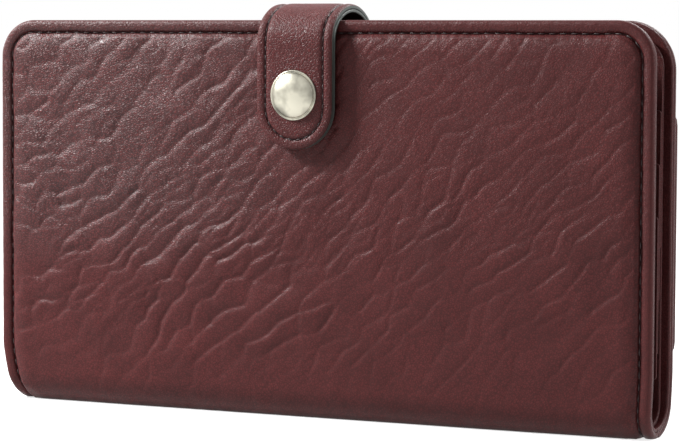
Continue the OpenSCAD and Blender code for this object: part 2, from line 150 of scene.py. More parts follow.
def cells(x, y, seed, slim=1.0):
    """Scattered cells of unit size: each cell's own number, and the crease beside it as a valley and a line.
    Creases that run across (the y way) are the deepest, and those between cells of like numbers fade out.
    A cell falls off steeply at its upper edge and gently at its lower one, and slim valleys are narrower."""
    shift_x, shift_y, tone = lattice(seed), lattice(seed + 1), lattice(seed + 2)
    n = len(tone)
    i, j = np.floor(x).astype(int), np.floor(y).astype(int)
    near = np.full(x.shape, 9.0)
    px, py, own = np.zeros(x.shape), np.zeros(x.shape), np.zeros(x.shape)
    spots = []
    for di in range(-2, 3):
        for dj in range(-2, 3):
            ci, cj = (i + di) % n, (j + dj) % n
            qx = i + di + 0.1 + 0.8 * shift_x[ci, cj] - x + 0.5 * ((j + dj) % 2)
            qy = j + dj + 0.1 + 0.8 * shift_y[ci, cj] - y
            spots.append((qx, qy, tone[ci, cj]))
            d = qx * qx + qy * qy
            closer = d < near
            near = np.where(closer, d, near)
            px, py, own = (np.where(closer, new, old)
                           for new, old in ((qx, px), (qy, py), (tone[ci, cj], own)))
    valley, line = np.zeros(x.shape), np.zeros(x.shape)
    for qx, qy, t in spots:
        dx, dy = qx - px, qy - py
        gap = np.hypot(dx, dy)
        other = gap > 1e-6
        gap = np.where(other, gap, 1)
        border = np.hypot(((px + qx) * dx + (py + qy) * dy) / 2 / gap, 0.03)
        weight = other * (0.25 + 0.75 * (dy / gap) ** 2) * (0.2 + 0.8 * smooth(np.abs(t - own), 0.02, 0.3))
        valley = np.maximum(valley, weight * np.exp(-border / (slim * np.where(dy > 0, STEEP, GENTLE))))
        line = np.maximum(line, weight * np.exp(-border / LINE))
    return own, valley, line


# Pillows between creases: their length and width, the way they lie in degrees, and their seed
Creases = namedtuple("Creases", "long short angle seed")
BIG_CREASES = Creases(10.5, 4.6, 41, 21)
MID_CREASES = Creases(6.5, 3.0, 37, 31)
COIN_CREASES = Creases(10.5, 4.6, 40, 21)
TAB_CREASES = Creases(7, 3.2, 35, 61)
SLOT_CREASES = Creases(5, 2.4, 35, 73)
FRAME_CREASES = Creases(5, 2.4, 35, 75)


def pillows(x, z, creases, slim=1.0):
    """Soft pillows with a valley round each: their height, and how deep in a crease a place is."""
    long, short, angle, seed = creases
    c, s = math.cos(math.radians(angle)), math.sin(math.radians(angle))
    u, v = (x * c + z * s) / long, (z * c - x * s) / short
    u, v = u + 0.14 * noise(u * 1.5 + 7, v * 1.1, seed + 5), v + 0.24 * noise(u * 1.9, v * 0.8 + 3, seed + 6)
    own, valley, line = cells(u, v, seed, slim)
    return 0.4 - valley - 0.15 * line + 0.25 * (own - 0.5) * (1 - valley), line


def wrinkles(x, s):
    """The shrunken grain at places on a cover: its height, and how deep in a crease a place is."""
    z = s - ARC + FOLD_Z
    # The creases turn steeper towards the fold and flatter at the left end
    steep = np.maximum(0, 40 - z)
    shallow = np.maximum(0, -50 - x)
    xw = x - 0.011 * steep ** 2 / 2 + 2.6 * noise(x / 33, z / 27, 11)
    zw = z - 0.017 * shallow ** 2 / 2 + 2.6 * noise(x / 31 + 9, z / 25, 12)
    slim = 1 - 0.5 * smooth(x, -25, 25)
    big, crease = pillows(xw, zw, BIG_CREASES, slim)
    mid, small = pillows(xw + 3, zw, MID_CREASES, slim)
    # They are lower at the right, near the fold and in the upper right corner
    left = 1 - 0.45 * smooth(x, -25, 30)
    low = 0.4 + 0.6 * smooth(z, 6, 26)
    high = 1 - 0.3 * smooth(x, 5, 30) * smooth(z, 62, 88)
    region = left * low * high
    # Patches of them are stronger or weaker, on a slow swell
    strong = 0.7 + 0.35 * smooth(noise(x / 19, z / 15, 41), -0.6, 0.5)
    weak = 0.1 + 0.9 * smooth(noise(x / 12 + 5, z / 10, 42), -0.2, 0.6)
    swell = 0.5 * noise(x / 9 + 3, z / 7, 43)
    height = region * (strong * big + 0.4 * weak * mid + swell)
    return height, region * (strong * crease + 0.35 * weak * small)


# Mesh helpers

# Points nearer to each other than this become one, in metres
WELD = 2e-6


def linked(name, data):
    """A new object in the scene."""
    obj = bpy.data.objects.new(name, data)
    bpy.context.scene.collection.objects.link(obj)
    return obj


def new_object(name, vertices, faces, zones=None, attributes=None, fill=False):
    """A welded smooth mesh from points in millimetres. zones gives each face its material's number, and fill
    closes its holes."""
    mesh = bpy.data.meshes.new(name)
    mesh.from_pydata((np.asarray(vertices) * MM).tolist(), [], faces)
    for key, values in (attributes or {}).items():
        values = np.asarray(values, np.float32)
        vector = values.ndim == 2
        layer = mesh.attributes.new(key, "FLOAT_VECTOR" if vector else "FLOAT", "POINT")
        layer.data.foreach_set("vector" if vector else "value", values.ravel())
    if zones is not None:
        mesh.polygons.foreach_set("material_index", np.asarray(zones, np.int32))
    work = bmesh.new()
    work.from_mesh(mesh)
    bmesh.ops.remove_doubles(work, verts=work.verts, dist=WELD)
    for face in work.faces:
        face.smooth = True
    if fill:
        bmesh.ops.holes_fill(work, edges=[e for e in work.edges if e.is_boundary], sides=0)
    bmesh.ops.recalc_face_normals(work, faces=work.faces)
    work.to_mesh(mesh)
    work.free()
    return linked(name, mesh)


def dress(obj, *keys):
    """Gives an object its materials, in the order of its zones."""
    for key in keys:
        obj.data.materials.append(MATERIALS[key])


def grid_faces(rows, cols, base=0, ring=False, loop=False):
    """Faces between rows of points. ring joins the ends of each row, and loop the last row to the first."""
    faces = []
    for i in range(rows if loop else rows - 1):
        a, b = base + i * cols, base + (i + 1) % rows * cols
        for j in range(cols if ring else cols - 1):
            k = (j + 1) % cols
            faces.append((a + j, a + k, b + k, b + j))
    return faces


def tube_faces(rows, cols, base=0):
    """Faces of a tube of rings that is closed at both ends."""
    ends = [tuple(range(first, first + cols)) for first in (base, base + (rows - 1) * cols)]
    return grid_faces(rows, cols, base, ring=True) + [ends[0][::-1], ends[1]]


def arc_points(a, b, r, first, last, count):
    """Points of an arc about (a, b), between two angles in degrees."""
    t = np.radians(np.linspace(first, last, count))
    return list(zip(a + r * np.cos(t), b + r * np.sin(t)))


Edge = namedtuple("Edge", "x s nx ns")


def outline(half_w, length, corner, step, turns):
    """Points round a sheet, up its left side, over the top and down the right, with the way out at each."""
    straight = length - corner
    rows = max(2, int(round(straight / step)) + 1)
    cols = max(2, int(round(2 * (half_w - corner) / step)) + 1)
    side = np.linspace(0, straight, rows)
    top = np.linspace(-(half_w - corner), half_w - corner, cols) if half_w > corner + 1e-6 else np.zeros(1)
    turn = np.linspace(0, math.pi / 2, turns + 1)[1:-1]
    left = [Edge(-half_w, s, -1, 0) for s in side]
    over_left = [Edge(-half_w + corner - corner * math.cos(a), straight + corner * math.sin(a),
                      -math.cos(a), math.sin(a)) for a in turn]
    over = [Edge(x, length, 0, 1) for x in top]
    right_turn = [Edge(-e.x, e.s, -e.nx, e.ns) for e in reversed(over_left)]
    right = [Edge(half_w, s, 1, 0) for s in side[::-1]]
    # A straight run and the arc that follows it share the point where they meet
    return left + over_left + over + right_turn + right, side, top


def sheet_solid(name, place, half_w, length, corner, insets, rim, inner_insets, thick, relief, step,
                turns=24, bend=None):
    """A closed sheet with a shaped edge: outer face, rim and inner face.

    place(x, s, out) gives the points in space; insets run inward from the edge on the outer face; rim is the
    edge's profile as (distance out of the outline, depth); relief(x, s, inset) gives the outer face's height
    and how deep in a crease a place is; bend(x, s) shifts points along the length."""
    loop, side, top = outline(half_w, length, corner, step, turns)
    ex, es, nx, ns = (np.array(v) for v in zip(*loop))
    outer = [e for e in insets if e < corner - 1e-6] + [corner]
    inner = [e for e in inner_insets if e < corner - 1e-6] + [corner]
    profile = [(-e, 0.0, 0) for e in reversed(outer)] + [(q, d, 1) for q, d in rim]
    profile += [(-e, thick, 2) for e in inner]
    points, flat, crease, inset = [], [], [], []

    def lay(x, s, depth=0.0, inward=None):
        """Adds points at a depth, or on the outer face where inward tells how far in they are."""
        none = np.zeros(x.shape)
        height, deep = (none - depth, none) if inward is None else relief(x, s, inward)
        points.append(place(x + (bend(x, s) if bend else 0), s, height))
        flat.append(np.stack([x, s + 3 * depth, none], -1))
        crease.append(deep)
        inset.append(none if inward is None else np.maximum(0, inward))

    for q, depth, zone in profile:
        lay(ex + q * nx, es + q * ns, depth, None if zone else np.full(ex.shape, -q))
    n = len(ex)
    faces = grid_faces(len(profile), n)
    zones = [max(a[2], b[2]) for a, b in zip(profile, profile[1:]) for _ in range(n - 1)]
    if len(top) > 1:
        # The middle of the outer face is a grid that shares the rows and columns of its edge
        x, s = (v.ravel() for v in np.meshgrid(top, side))
        lay(x, s, inward=np.minimum(half_w - np.abs(x), length - s))
        middle = grid_faces(len(side), len(top), len(profile) * n)
        faces += middle
        zones += [0] * len(middle)
        # The inner face's middle has a band across for each row, and a last one with the top's points
        last, rows = (len(profile) - 1) * n, len(side) - 2
        faces += [(last + i, last + i + 1, last + n - 2 - i, last + n - 1 - i) for i in range(rows)]
        faces.append(tuple(last + k for k in range(rows, n - rows)))
        zones += [2] * (rows + 1)
    points, flat, crease, inset = (np.concatenate(v) for v in (points, flat, crease, inset))
    # The grain's strength, rising towards the top and left: it scales the bumps, the painted shade in the
    # grain's valleys and the specular level
    grain = (0.3 + 0.9 * smooth(flat[:, 1], 14, 66)) * (1 - 0.45 * smooth(flat[:, 0], -60, 40))
    return new_object(name, points, faces, zones,
                      {"flat": flat, "crease": crease, "inset": inset, "grain": grain}, fill=True)


# Materials

def linear(r, g, b, by=1.0):
    """A screen colour from 0 to 255, times by, as the renderer's own values."""
    shown = (v * by / 255 for v in (r, g, b))
    return tuple(v / 12.92 if v <= 0.04045 else ((v + 0.055) / 1.055) ** 2.4 for v in shown) + (1,)


class Nodes:
    """A short way to write the node tree of a material or the world."""

    def __init__(self, owner, shader="Principled BSDF"):
        owner.use_nodes = True
        self.owner = owner
        self.tree = owner.node_tree
        self.shader = self.tree.nodes[shader]

    def put(self, socket, value):
        if isinstance(value, bpy.types.NodeSocket):
            self.tree.links.new(value, socket)
        else:
            socket.default_value = value

    def add(self, kind, output, inputs=None, **settings):
        """A new node with its inputs set or linked: gives one of its outputs."""
        node = self.tree.nodes.new("ShaderNode" + kind)
        for key, value in settings.items():
            setattr(node, key, value)
        for key, value in (inputs or {}).items():
            self.put(node.inputs[key], value)
        return node.outputs[output]

    def math(self, kind, a, b=0.0, clamp=False):
        return self.add("Math", 0, {0: a, 1: b}, operation=kind, use_clamp=clamp)

    def ramp(self, value, low, high, to_low=0.0, to_high=1.0):
        limits = {"From Min": low, "From Max": high, "To Min": to_low, "To Max": to_high}
        return self.add("MapRange", "Result", {"Value": value, **limits})

    def mix(self, share, a, b):
        return self.add("Mix", "Result", {"Factor": share, "A": a, "B": b}, data_type="RGBA")

    def attribute(self, name, output="Fac"):
        return self.add("Attribute", output, attribute_name=name)

    def place(self, flat, scale, turn=0.0):
        """Texture coordinates in millimetres times scale: along the sheet, or on the object itself."""
        source = self.attribute("flat", "Vector") if flat else self.add("TexCoord", "Object")
        scale = (np.full(3, scale) / (1 if flat else MM)).tolist()
        turned = self.add("Mapping", 0, {"Vector": source, "Rotation": (0, 0, math.radians(turn))})
        return self.add("Mapping", 0, {"Vector": turned, "Scale": scale})

    def noise(self, where, scale=1.0, detail=2.0, roughness=0.5):
        return self.add("TexNoise", "Fac", {"Vector": where, "Scale": scale, "Detail": detail,
                                            "Roughness": roughness})

    def wave(self, where, scale, distortion, way):
        return self.add("TexWave", "Fac", {"Vector": where, "Scale": scale, "Distortion": distortion},
                        bands_direction=way)

    def web(self, where, width):
        """A net of fine valleys between scattered cells: 0 in a valley and 1 on the flats."""
        edge = self.add("TexVoronoi", 0, {"Vector": where, "Scale": 1.0}, feature="DISTANCE_TO_EDGE")
        return self.add("MapRange", "Result", {"Value": edge, "From Max": width},
                        interpolation_type="SMOOTHSTEP")

    def bump(self, height, depth):
        """Bump of a height map from 0 to 1 that is depth millimetres deep."""
        return self.add("Bump", "Normal", {"Height": height, "Distance": depth * MM, "Strength": 1.0})

    def finish(self, **sockets):
        for key, value in sockets.items():
            self.put(self.shader.inputs[key.replace("_", " ")], value)
        return self.owner


def material(name):
    return Nodes(bpy.data.materials.new(name))


def leather(name, colour, flat=True, grain=1.0, depth=0.09, rough=0.46, seam=None, coarse=False):
    """Chrome-tanned leather: mottled dye, fine pebbles drawn out along the creases with painted shade in
    their valleys, and open pores.
    seam is the inset of a sewn groove, where a near-black line is painted shade, the margin outside it
    darker, and the creases darkened with painted shade.
    coarse leather has its grain, and the painted shade in its valleys, stronger or weaker from place to
    place."""
    n = material(name)
    base, shade_colour = linear(*colour), linear(*colour, by=0.55)
    light = linear(*(c * 1.1 + 3 for c in colour))
    cloud = n.noise(n.place(flat, 0.07), detail=3)
    dye = n.mix(n.ramp(cloud, 0.3, 0.7), base, light)
    pebble = n.web(n.place(flat, (1.4 * grain, 2.0 * grain, 2.0 * grain), turn=-42), 0.28)
    fine = n.web(n.place(flat, (0.7 * grain, 1.0 * grain, 1.0 * grain), turn=-38), 0.3)
    pores = n.noise(n.place(flat, 4.0 * grain), detail=2)
    height = n.math("ADD", n.math("MULTIPLY", pebble, 0.55), n.math("MULTIPLY", fine, 0.2))
    # Painted shade: the colour is darker in the valleys of the fine grain
    lines = n.ramp(height, 0.1, 0.6, 0.6, 0.0)
    # Coarse leather has this painted shade stronger where its grain attribute is high, towards the top and
    # left
    if coarse:
        lines = n.math("MULTIPLY", lines, n.ramp(n.attribute("grain"), 0.75, 1.2, 1.0, 1.5), clamp=True)
    dye = n.mix(lines, dye, shade_colour)
    height = n.math("ADD", height, n.math("MULTIPLY", pores, 0.15))
    if coarse:
        height = n.math("MULTIPLY", height, n.attribute("grain"))
    if seam is not None:
        # Painted shade: the colour is darker in the creases of the shrunken grain
        dye = n.mix(n.math("MULTIPLY", n.attribute("crease"), 0.35, clamp=True), dye, shade_colour)
        dye = n.mix(n.ramp(n.attribute("inset"), 0.2, seam, 0.6, 0.0), dye, linear(*colour, by=0.85))
        # Painted shade: a near-black line along the sewn groove
        far = n.math("ABSOLUTE", n.math("SUBTRACT", n.attribute("inset"), seam))
        dye = n.mix(n.ramp(far, 0.05, 0.38, 0.9, 0.0), dye, linear(30, 14, 15))
    shine = n.ramp(n.noise(n.place(flat, 0.35), detail=2), 0.3, 0.7, rough - 0.05, rough + 0.07)
    gleam = n.ramp(n.attribute("grain"), 0.75, 1.25, 0.2, 0.31) if coarse else 0.2
    # The base colour is the dye with the painted shade above mixed in
    return n.finish(Base_Color=dye, Roughness=shine, Normal=n.bump(height, depth), Specular_IOR_Level=gleam)


def cloth(name, colour, threads):
    """Plain woven cloth: fine threads over and under each other."""
    n = material(name)
    where = n.place(True, 1.0)
    weave = n.math("MULTIPLY", *(n.wave(where, threads / 2, 0.4, way) for way in "XY"))
    dye = n.mix(n.ramp(weave, 0.0, 0.8), linear(*colour, by=0.6), linear(*colour))
    worn = n.ramp(n.noise(where, 0.5), 0.3, 0.7, 0.75, 0.9)
    return n.finish(Base_Color=dye, Roughness=worn, Normal=n.bump(weave, 0.05))


def nickel(name, colour=(196, 192, 176), rough=0.3):
    """Brushed antique nickel: fine scratches, and dull patches of painted dark reflection in its colour."""
    n = material(name)
    scratch = n.noise(n.place(False, (0.5, 6, 6)), 1.6, detail=5, roughness=0.7)
    painted_reflection_patches = n.noise(n.place(False, 0.17), detail=3)
    # Painted reflection: darker patches in the metal's colour stand in for the dark reflections on the dome
    tint = n.mix(n.ramp(painted_reflection_patches, 0.38, 0.66), linear(*colour), linear(*colour, by=0.6))
    worn = n.math("ADD", n.math("MULTIPLY", scratch, 0.6), n.math("MULTIPLY", painted_reflection_patches, 0.4))
    return n.finish(Base_Color=tint, Metallic=1.0, Normal=n.bump(scratch, 0.006),
                    Roughness=n.ramp(worn, 0.3, 0.7, rough - 0.07, rough + 0.14))


def plain_card(name, colour):
    """Matt card of the dividers, with a fibre fleck."""
    n = material(name)
    fleck = n.noise(n.place(False, (2.5, 9, 9)), detail=4)
    dye = n.mix(n.ramp(fleck, 0.35, 0.65), linear(*colour, by=0.9), linear(*colour))
    return n.finish(Base_Color=dye, Roughness=n.ramp(fleck, 0.3, 0.7, 0.55, 0.7), Normal=n.bump(fleck, 0.02))


def clear_film(name):
    """Clear soft window film with faint handling haze."""
    n = material(name)
    haze = n.noise(n.place(False, 0.12), detail=4)
    return n.finish(Base_Color=(0.9, 0.93, 0.93, 1), Transmission_Weight=0.92, IOR=1.15,
                    Roughness=n.ramp(haze, 0.35, 0.65, 0.06, 0.2))


def thread(name, colour):
    """Bonded thread: a fine twist."""
    n = material(name)
    twist = n.wave(n.place(False, 1.0), 2.2, 1.0, "DIAGONAL")
    dye = n.mix(n.ramp(twist, 0.2, 0.8), linear(*colour, by=0.6), linear(*colour))
    return n.finish(Base_Color=dye, Roughness=n.ramp(twist, 0, 1, 0.5, 0.65), Normal=n.bump(twist, 0.03))


def painted_edge(name, colour):
    """Edge paint: smooth, a little uneven in gloss."""
    n = material(name)
    cloud = n.noise(n.place(True, 0.6), detail=3)
    dye = n.mix(n.ramp(cloud, 0.3, 0.7), linear(*colour, by=0.85), linear(*colour))
    gloss = n.ramp(cloud, 0.3, 0.7, 0.28, 0.42)
    return n.finish(Base_Color=dye, Roughness=gloss, Normal=n.bump(cloud, 0.04))


# The dye of the outer leather, and how far inside the strap's edge its groove is
SKIN = (84, 34, 34)
TAB_GROOVE = 2.5
MATERIALS = {
    "skin": leather("cover leather", SKIN, seam=GROOVE, coarse=True),
    "rim": leather("turned edge leather", (80, 33, 33), grain=1.2, depth=0.05, rough=0.34),
    "inside": leather("facing leather", (80, 33, 33), grain=1.1, depth=0.06, rough=0.34),
    "inner": leather("inner leather", (74, 31, 31), grain=1.1, depth=0.06, rough=0.36),
    "slot": leather("slot leather", (76, 32, 32), grain=1.1, depth=0.06, rough=0.36),
    "pocket": leather("pocket leather", SKIN),
    "strap": leather("strap leather", (86, 36, 36), depth=0.13, rough=0.44, seam=TAB_GROOVE),
    "backing": leather("strap backing", (36, 33, 32), grain=1.4, depth=0.03, rough=0.62),
    "edge": painted_edge("edge paint", (74, 82, 78)),
    "thread": thread("thread", (46, 23, 24)),
    "nickel": nickel("brushed nickel", rough=0.42),
    "zip": nickel("zip metal", (186, 178, 160), rough=0.26),
    "tape": cloth("zip tape", (46, 30, 32), threads=2.2),
    "card": plain_card("divider card", (214, 204, 184)),
    "film": clear_film("window film"),
    "board": plain_card("board", (160, 136, 104)),
}


# The cover: outer leather, turned edge and lining, from the fold's middle to the top edge

def on_cover(side, depth=0):
    """Places (length, path, height) on a sheet that lies depth under a cover's outside and turns round the
    fold; heights are outward."""
    fold_r = FOLD_R - depth
    arc = fold_r * math.pi / 2

    def place(x, s, out):
        turn = np.clip((arc - s) / fold_r, 0, math.pi / 2)
        r = fold_r + out
        z = np.where(s < arc, FOLD_Z - r * np.sin(turn), FOLD_Z + s - arc)
        return np.stack([x, side * r * np.cos(turn), np.maximum(z, 0)], -1)
    return place


def drawn_in(x, s):
    """How far the ends are drawn in round the fold, fading towards the middle."""
    near = np.clip((DRAW_FROM - s) / DRAW_FROM, 0, 1) ** DRAW_POWER
    left = smooth(-x, HALF_W - DRAW_REACH, HALF_W)
    right = smooth(x, HALF_W - DRAW_REACH, HALF_W)
    return near * (DRAW_LEFT * left - DRAW_RIGHT * right)


# The cover's face: the swell and radius of its edge, its groove, its padding and its creases
BULGE = 0.2
MARGIN_R = 1.1
GROOVE_DEEP = 0.7
PUFF = 0.85
CREASE_H = 0.62


def cover_relief(x, s, inset):
    """The outer face: a round margin, the sewn groove, and the padded panel with its creases."""
    e = np.clip(inset + BULGE, 0, MARGIN_R)
    roll = np.sqrt(np.maximum(0, MARGIN_R ** 2 - (MARGIN_R - e) ** 2)) - MARGIN_R
    margin = roll - 0.35 * smooth(inset, 1.3, GROOVE)
    around = np.where(np.abs(x) > HALF_W - 12, s, x)
    inset = inset + 0.16 * noise(around / 5, inset * 0 + 2, 54) * ridge(inset, GROOVE, 1.2)
    pucker = 0.05 * np.sin(2 * math.pi * around / 2.85 + 2 * noise(around / 7, inset * 0, 51))
    pucker = pucker + 0.16 * noise(around / 4.5, inset * 0 + 5, 53)
    groove = -GROOVE_DEEP * ridge(inset, GROOVE, 0.34)
    beside = ridge(inset, GROOVE + 1, 0.9)
    puff = PUFF * np.sqrt(smooth(inset, GROOVE - 0.3, GROOVE + 5))
    puff = puff + 0.2 * smooth(inset, GROOVE, 0.35 * HEIGHT)
    inside = smooth(inset, GROOVE + 0.1, GROOVE + 1.8)
    height, crease = wrinkles(x, s)
    fade = inside * (0.15 + 0.85 * smooth(s, 4, 22))
    lines = 0.045 * noise(around / 0.9 + 0.4 * inset, inset / 2.5, 52) * (inset < GROOVE)
    face = margin * (inset < GROOVE + 1) + groove + puff + pucker * beside + lines
    return face + CREASE_H * fade * height, crease * fade


def pressed_relief(x, s, inset):
    """The front cover's outer face: its padding is pressed flat round the stud's flange."""
    face, crease = cover_relief(x, s, inset)
    dx = x - (STUD_LOW[0] + STUD_HIGH[0]) / 2
    dz = FOLD_Z + s - ARC - (STUD_LOW[2] + STUD_HIGH[2]) / 2
    free = smooth(np.hypot(dx, dz), STUD_R + 0.3, STUD_R + 4)
    return face * free, crease * free


def rim_profile():
    """The edge from the outer face to the lining: the turned leather's fold, a seam, the lining's fold.
    Points are (distance out of the outline, depth)."""
    big = arc_points(BULGE - MARGIN_R, MARGIN_R, MARGIN_R, 0, 40, 5)
    small = arc_points(BULGE - 0.72, COVER_T - 0.5, 0.52, -42, 82, 7)
    return big + [(BULGE - 0.5, 1.84)] + small


OUTER_INSETS = [-0.18, -0.1, 0.05, 0.25, 0.5, 0.8, 1.15, 1.5, 1.85, 2.15, 2.4, 2.6, 2.75, 2.87, 2.98, 3.09,
                3.2, 3.32, 3.46, 3.65, 3.9, 4.2, 4.55, *np.arange(4.9, 9, 0.4), 9.25]
INNER_INSETS = [0.9, 1.6, 2.4, 5]


def make_cover(side, name, corner, step, relief):
    obj = sheet_solid(name, on_cover(side), HALF_W, COVER_LEN, corner, OUTER_INSETS, rim_profile(),
                      INNER_INSETS, COVER_T, relief, step, bend=drawn_in)
    dress(obj, "skin", "rim", "inside")
    return obj


def blend_cover(obj, side):
    """Bakes a piece's transform into its mesh."""
    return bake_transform(obj)


front = make_cover(FRONT, "front_cover_leather", CORNER_R, 0.45, pressed_relief)
back = make_cover(BACK, "back_cover_leather", BACK_CORNER_R, 0.6, cover_relief)
blend_cover(front, FRONT)
blend_cover(back, BACK)
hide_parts("front_leather", "front_foam", "front_lining", "spine_leather", "spine_padding",
            "spine_lining")
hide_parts("back_leather", "back_foam", "back_lining")


# Stitches: short threads that dip into the leather at both ends

# A stitch's length, the gap to the next, the thread's thickness and its height above the face
Stitch = namedtuple("Stitch", "length gap thick rise")
COVER_STITCH = Stitch(2.1, 0.75, 0.4, -0.7)
TAB_STITCH = Stitch(1.7, 0.7, 0.42, -0.2)
SLOT_STITCH = Stitch(1.9, 0.8, 0.34, 0.02)
FRAME_STITCH = Stitch(1.9, 0.8, 0.34, -0.08)
COIN_STITCH = Stitch(2.0, 0.8, 0.42, -0.3)


def stitch_row(name, place, path, stitch):
    """A row of stitches along a path of (x, s) points."""
    length, gap, thick, rise = stitch
    path = np.asarray(path, float)
    along = np.concatenate([[0], np.cumsum(np.hypot(*np.diff(path, axis=0).T))])
    count = int(along[-1] // (length + gap))
    pitch = along[-1] / count
    sides, rings = 6, 5
    share = np.linspace(-1, 1, rings)
    turn = 2 * math.pi * np.arange(sides) / sides
    taper = share[:, None] ** 4
    radius = thick / 2 * np.sqrt(np.maximum(0.12, 1 - taper))
    across, height = radius * np.cos(turn), rise - 0.9 * thick * taper + radius * np.sin(turn)
    points, faces = [], []

    def spot(t):
        return np.stack([np.interp(t, along, v) for v in path.T], -1)

    for k in range(count):
        t = (k + 0.5) * pitch + length / 2 * share
        way = spot(t + 0.1) - spot(t - 0.1)
        way /= np.linalg.norm(way, axis=1, keepdims=True)
        x, s = spot(t).T[:, :, None] + np.stack([-way[:, 1:], way[:, :1]]) * across
        points.append(np.stack([x, s, height], -1).reshape(-1, 3))
        faces += tube_faces(rings, sides, k * rings * sides)
    obj = new_object(name, place(*np.concatenate(points).T), faces)
    dress(obj, "thread")
    return obj


def inset_path(half_w, length, corner, inset, start=0.0):
    """The outline drawn in by inset, from start up the left side and down to start on the right."""
    loop, _, _ = outline(half_w, length, corner, 0.5, 16)
    points = [(e.x - inset * e.nx, e.s - inset * e.ns) for e in loop]
    return [p for p in points if p[1] >= start]


def cover_stitches(side, corner):
    path = np.array(inset_path(HALF_W, COVER_LEN, corner, GROOVE))
    path[:, 0] += drawn_in(path[:, 0], path[:, 1])
    blend_cover(stitch_row("stitches_" + SIDE[side], on_cover(side), path, COVER_STITCH), side)


cover_stitches(FRONT, CORNER_R)
cover_stitches(BACK, BACK_CORNER_R)


# The inner panels: one leather U inside the fold, with rolled ends

def sheet_rim(thick, bulge=0.5):
    """A plain rounded edge of a thin sheet."""
    t = np.radians(np.linspace(75, -75, 6))
    return list(zip(thick * bulge * (np.cos(t) - 1), thick / 2 * (1 - np.sin(t))))


PANEL_INSETS = [0.1, 0.4, 0.8, 1.2, 1.4, 1.6, 1.8, 2.1, 3, 5]
PANEL_HEM = 1.6


def make_panel(side):
    length = (FOLD_R - PANEL_D) * math.pi / 2 + PANEL_HIGH[2] - FOLD_Z
    obj = sheet_solid("inner_panel_" + SIDE[side], on_cover(side, PANEL_D), PANEL_HIGH[0], length,
                      CORNER_R - 2, PANEL_INSETS, sheet_rim(PANEL_T), [0.5, 1.5, 4], PANEL_T,
                      lambda x, s, inset: (-0.16 * ridge(inset, PANEL_HEM, 0.3), 0 * x), 1.2, turns=12)
    dress(obj, "inner", "inner", "inner")
    return blend_cover(obj, side)


panel_front = make_panel(FRONT)
panel_back = make_panel(BACK)
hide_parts("front_inner_panel", "inner_fold")
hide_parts("back_inner_panel")


# The snap tab: one strap from its seam on the back, over the top edge, to its round end on the front

def tab_run():
    """The strap's outer line in (y, z), from its round end on the front to its sewn end on the back."""
    reach, top = -TAB_LOW[1], TAB_HIGH[2] - TAB_PRESS
    shoulder_y = reach - SHOULDER_R
    crown_z = top - CROWN_R
    shoulder_z = crown_z + math.sqrt((CROWN_R - SHOULDER_R) ** 2 - shoulder_y ** 2)
    angle = math.degrees(math.atan2(shoulder_z - crown_z, shoulder_y))
    run = [(-reach, z) for z in np.arange(TAB_LOW[2], shoulder_z, 0.5)]
    run += arc_points(-shoulder_y, shoulder_z, SHOULDER_R, 180, 180 - angle, 24)[:-1]
    run += arc_points(0, crown_z, CROWN_R, 180 - angle, angle, 40)[:-1]
    run += arc_points(shoulder_y, shoulder_z, SHOULDER_R, angle, 0, 24)[:-1]
    root_y = FOLD_R + TAB_T
    for t in np.linspace(0, 1, 14)[:-1]:
        ease = t * t * (3 - 2 * t)
        run.append((reach + (root_y - reach) * ease, shoulder_z + (ROOT_TOP - shoulder_z) * t))
    run += [(root_y, z) for z in np.arange(ROOT_TOP, TAB_ROOT_LOW[2] - 0.01, -0.5)]
    return np.array(run)


TAB_RUN = tab_run()
TAB_ALONG = np.concatenate([[0], np.cumsum(np.hypot(*np.diff(TAB_RUN, axis=0).T))])
TAB_LEN = TAB_ALONG[-1]
TAB_WAY = np.gradient(TAB_RUN, TAB_ALONG, axis=0)
TAB_WAY /= np.linalg.norm(TAB_WAY, axis=1, keepdims=True)


def on_tab(x, s, out):
    """Places on the strap: s runs from its sewn end to its round end, out is away from its outer face."""
    t = TAB_LEN - s
    y, z, wy, wz = (np.interp(t, TAB_ALONG, v) for v in (*TAB_RUN.T, *TAB_WAY.T))
    size = np.hypot(wy, wz)
    return np.stack([TAB_X + x, y - wz / size * out, z + wy / size * out], -1)


def tab_relief(x, s, inset):
    """The strap's face: a rolled edge, a sewn groove and a slightly raised middle."""
    edge = 0.6
    roll = np.where(inset < edge, np.sqrt(np.maximum(0, edge ** 2 - (edge - inset) ** 2)) - edge, 0)
    groove = 0.14 * ridge(inset, 1.25, 0.6) - 0.36 * ridge(inset, TAB_GROOVE, 0.3)
    raised = 0.2 * smooth(inset, TAB_GROOVE, TAB_GROOVE + 1.4)
    height, crease = pillows(x + TAB_X, s + 40, TAB_CREASES)
    fade = smooth(inset, TAB_GROOVE + 0.3, TAB_GROOVE + 2)
    return roll + groove + raised + 0.06 * fade * height, 0.5 * fade * crease


STRAP_INSETS = [0.05, 0.15, 0.3, 0.55, 0.9, 1.4, 1.8, 2.1, 2.28, 2.4, 2.5, 2.6, 2.72, 2.9, 3.2, 3.6, 4.1,
                4.7, 5.3, 6, 6.8, 7.6, 8.4, 9.2, 10]
BACKING_INSETS = [0.05, 0.8, 3, 7]


